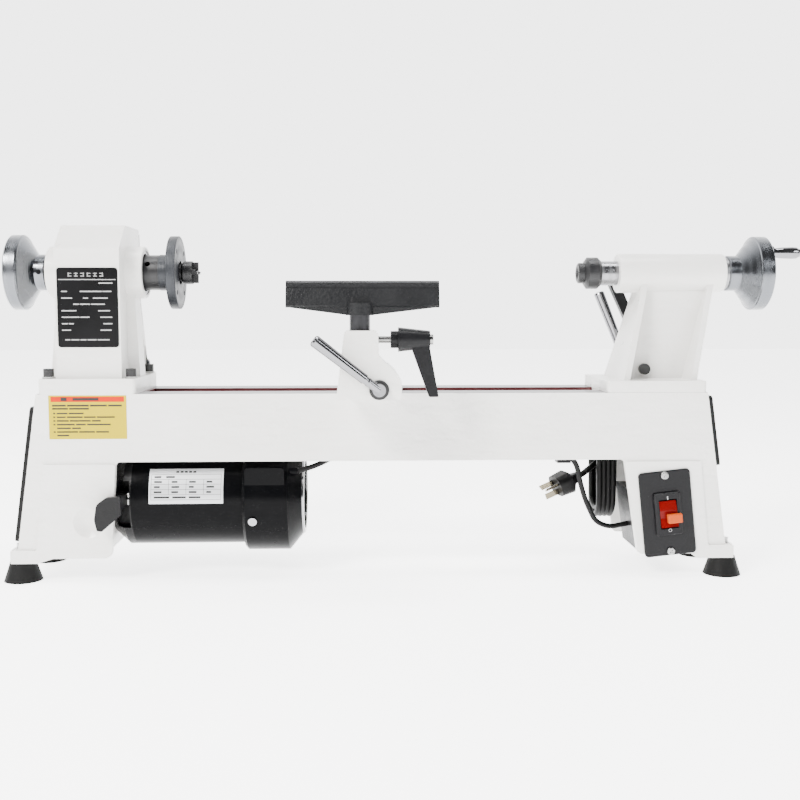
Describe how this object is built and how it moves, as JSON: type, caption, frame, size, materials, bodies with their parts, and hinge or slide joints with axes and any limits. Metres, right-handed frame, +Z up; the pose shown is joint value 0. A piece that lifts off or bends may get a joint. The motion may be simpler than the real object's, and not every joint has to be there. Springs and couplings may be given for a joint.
{
  "type": "wood lathe",
  "caption": "Bench-top wood lathe with a belt-driven spindle, tool rest on a sliding banjo, and a tailstock with a screw-driven quill and live centre.",
  "frame": {"origin": "on the bench surface under the middle of the whole machine, cords aside", "axes": "+X along the bed from the headstock to the tailstock, +Y away from the operator, +Z up"},
  "size_m": [0.8395, 0.2263, 0.3685],
  "materials": {
    "white_paint": "cream white enamel over a cast surface",
    "rubber": "matte",
    "black_plastic": "satin black",
    "black_paint": "semi-gloss black",
    "steel": "turned",
    "cast_wheel": "plated and turned",
    "chrome": "plated",
    "black_oxide": "black oxide",
    "aluminium": "turned",
    "belt": "ribbed",
    "plate": "black print",
    "red_plastic": "gloss",
    "orange_plastic": "gloss",
    "cord_black": "matte"
  },
  "bodies": {
    "frame": {"bed_casting": "white_paint", "rubber_feet": "rubber", "foot_bolts": "steel", "headstock_casting": "white_paint", "headstock_bolts": "black_oxide", "nameplate": "plate", "spindle_bearings": "chrome", "drive_belt": "belt", "motor_studs": "steel", "switch_plate": "black_plastic", "switch_screws": "steel", "switch_box": "black_plastic", "motor_lead": "cord_black", "cord_fittings": "black_plastic", "mains_cord_feed": "cord_black", "mains_cord_hank": "cord_black", "mains_cord_tail": "cord_black", "mains_plug": "cord_black"},
    "spindle": {"spindle": "black_oxide", "bearing_inner_rings": "chrome", "faceplate": "black_oxide", "spur_centre": "black_oxide", "spindle_pulley": "aluminium", "headstock_handwheel": "cast_wheel", "set_screws": "black_oxide"},
    "motor": {"motor_end_bell": "black_paint", "motor_shell": "black_paint", "motor_fan_cover": "black_paint", "motor_trim": "chrome"},
    "motor_rotor": {"motor_shaft": "steel", "motor_pulley": "aluminium"},
    "motor_lock": {"motor_lock_lever": "black_plastic"},
    "banjo_slider": {"banjo_clamp_plate": "steel"},
    "banjo_swivel_bolt": {"banjo_clamp_bolt": "steel"},
    "banjo": {"banjo_casting": "white_paint", "rest_lock_stud": "steel"},
    "banjo_cam": {"banjo_cam_lever": "chrome"},
    "rest_post": {"tool_rest_post": "steel"},
    "tool_rest": {"tool_rest_bar": "black_paint"},
    "rest_lock": {"rest_lock_handle": "black_paint"},
    "tailstock": {"tailstock_casting": "white_paint", "tailstock_clamp_bolt": "steel", "tailstock_clamp_plate": "steel", "quill_lock_stud": "steel"},
    "tailstock_cam": {"tailstock_cam_lever": "chrome"},
    "tail_wheel": {"tailstock_handwheel": "cast_wheel", "quill_screw": "steel"},
    "crank": {"crank_handle": "chrome"},
    "quill": {"quill": "steel"},
    "live_centre": {"live_centre": "black_oxide"},
    "quill_lock": {"quill_lock_handle": "black_paint"},
    "left_door": {"left_door": "black_paint"},
    "left_door_knob": {"left_door_knob": "black_plastic"},
    "right_door": {"right_door": "black_paint"},
    "right_door_knob": {"right_door_knob": "black_plastic"},
    "rear_cover": {"rear_cover": "black_paint"},
    "rear_cover_knob": {"rear_cover_knob": "black_plastic"},
    "switch_rocker": {"switch_rocker": "red_plastic"},
    "safety_key": {"safety_key": "orange_plastic"}
  },
  "joints": [
    {"name": "spindle_spin", "type": "hinge", "parent": "frame", "child": "spindle", "pos_m": [-0.33, 0.0455, 0.32], "axis": [1, 0, 0], "continuous": true},
    {"name": "motor_tension", "type": "slide", "parent": "frame", "child": "motor", "axis": [0, 0, 1], "range_m": [0, 0.006], "deforming": ["drive_belt"]},
    {"name": "motor_spin", "type": "hinge", "parent": "motor", "child": "motor_rotor", "pos_m": [-0.24, 0.0455, 0.0815], "axis": [1, 0, 0], "continuous": true},
    {"name": "motor_lock_turn", "type": "hinge", "parent": "frame", "child": "motor_lock", "pos_m": [-0.3, 0.0065, 0.084], "axis": [1, 0, 0], "range_deg": [-28, 10]},
    {"name": "banjo_travel", "type": "slide", "parent": "frame", "child": "banjo_slider", "axis": [1, 0, 0], "range_m": [-0.06, 0.02]},
    {"name": "banjo_turn", "type": "hinge", "parent": "banjo_slider", "child": "banjo_swivel_bolt", "pos_m": [-0.033, 0.0455, 0.18], "axis": [0, 0, 1], "range_deg": [-25, 25]},
    {"name": "banjo_reach", "type": "slide", "parent": "banjo_swivel_bolt", "child": "banjo", "axis": [0, 1, 0], "range_m": [-0.02, 0.015]},
    {"name": "banjo_cam_turn", "type": "hinge", "parent": "banjo", "child": "banjo_cam", "pos_m": [-0.033, 0.0455, 0.205], "axis": [0, 1, 0], "range_deg": [-20, 40]},
    {"name": "rest_height", "type": "slide", "parent": "banjo", "child": "rest_post", "axis": [0, 0, 1], "range_m": [-0.01, 0.02]},
    {"name": "rest_turn", "type": "hinge", "parent": "rest_post", "child": "tool_rest", "pos_m": [-0.0512, -0.0625, 0.29], "axis": [0, 0, 1], "range_deg": [-40, 40]},
    {"name": "rest_lock_turn", "type": "hinge", "parent": "banjo", "child": "rest_lock", "pos_m": [0, -0.0625, 0.252], "axis": [1, 0, 0], "range_deg": [-90, 0]},
    {"name": "tailstock_travel", "type": "slide", "parent": "frame", "child": "tailstock", "axis": [1, 0, 0], "range_m": [-0.09, 0]},
    {"name": "tailstock_cam_turn", "type": "hinge", "parent": "tailstock", "child": "tailstock_cam", "pos_m": [0.255, 0.0455, 0.217], "axis": [0, 1, 0], "range_deg": [-25, 50]},
    {"name": "tail_wheel_turn", "type": "hinge", "parent": "tailstock", "child": "tail_wheel", "pos_m": [0.36, 0.0455, 0.32], "axis": [1, 0, 0], "range_deg": [-1800, 4800]},
    {"name": "crank_turn", "type": "hinge", "parent": "tail_wheel", "child": "crank", "pos_m": [0.4, 0.0245, 0.341], "axis": [1, 0, 0], "continuous": true},
    {"name": "quill_slide", "type": "slide", "parent": "tailstock", "child": "quill", "axis": [-1, 0, 0], "range_m": [-0.0155, 0.0405]},
    {"name": "live_centre_spin", "type": "hinge", "parent": "quill", "child": "live_centre", "pos_m": [0.2, 0.0455, 0.32], "axis": [1, 0, 0], "continuous": true},
    {"name": "quill_lock_turn", "type": "hinge", "parent": "tailstock", "child": "quill_lock", "pos_m": [0.229, 0.0755, 0.32], "axis": [0, 1, 0], "range_deg": [-45, 45]},
    {"name": "left_door_swing", "type": "hinge", "parent": "frame", "child": "left_door", "pos_m": [-0.38386, 0.0455, 0.18106], "axis": [0, 1, 0], "range_deg": [0, 90]},
    {"name": "left_door_knob_turn", "type": "hinge", "parent": "left_door", "child": "left_door_knob", "pos_m": [-0.40242, 0.0455, 0.04906], "axis": [-0.9903, 0, 0.1392], "range_deg": [0, 90]},
    {"name": "right_door_swing", "type": "hinge", "parent": "frame", "child": "right_door", "pos_m": [0.31203, 0.0455, 0.19056], "axis": [0, -1, 0], "range_deg": [0, 90]},
    {"name": "right_door_knob_turn", "type": "hinge", "parent": "right_door", "child": "right_door_knob", "pos_m": [0.3166, 0.0455, 0.15806], "axis": [0.9903, 0, 0.1392], "range_deg": [0, 90]},
    {"name": "rear_cover_swing", "type": "hinge", "parent": "frame", "child": "rear_cover", "pos_m": [-0.329, 0.0959, 0.3655], "axis": [1, 0, 0], "range_deg": [0, 95]},
    {"name": "rear_cover_knob_turn", "type": "hinge", "parent": "rear_cover", "child": "rear_cover_knob", "pos_m": [-0.294, 0.1005, 0.221], "axis": [0, 1, 0], "range_deg": [0, 90]},
    {"name": "rocker_tilt", "type": "hinge", "parent": "frame", "child": "switch_rocker", "pos_m": [0.27, -0.0135, 0.0685], "axis": [0.9942, 0, 0.108], "range_deg": [0, 14]},
    {"name": "key_pull", "type": "slide", "parent": "switch_rocker", "child": "safety_key", "axis": [0, -1, 0], "range_m": [0, 0.012]}
  ],
  "couplings": [
    {"joint": "motor_spin", "follows": "spindle_spin", "ratio": 0.875},
    {"joint": "quill_slide", "follows": "tail_wheel_turn", "m_per_rad": 0.00047746}
  ]
}
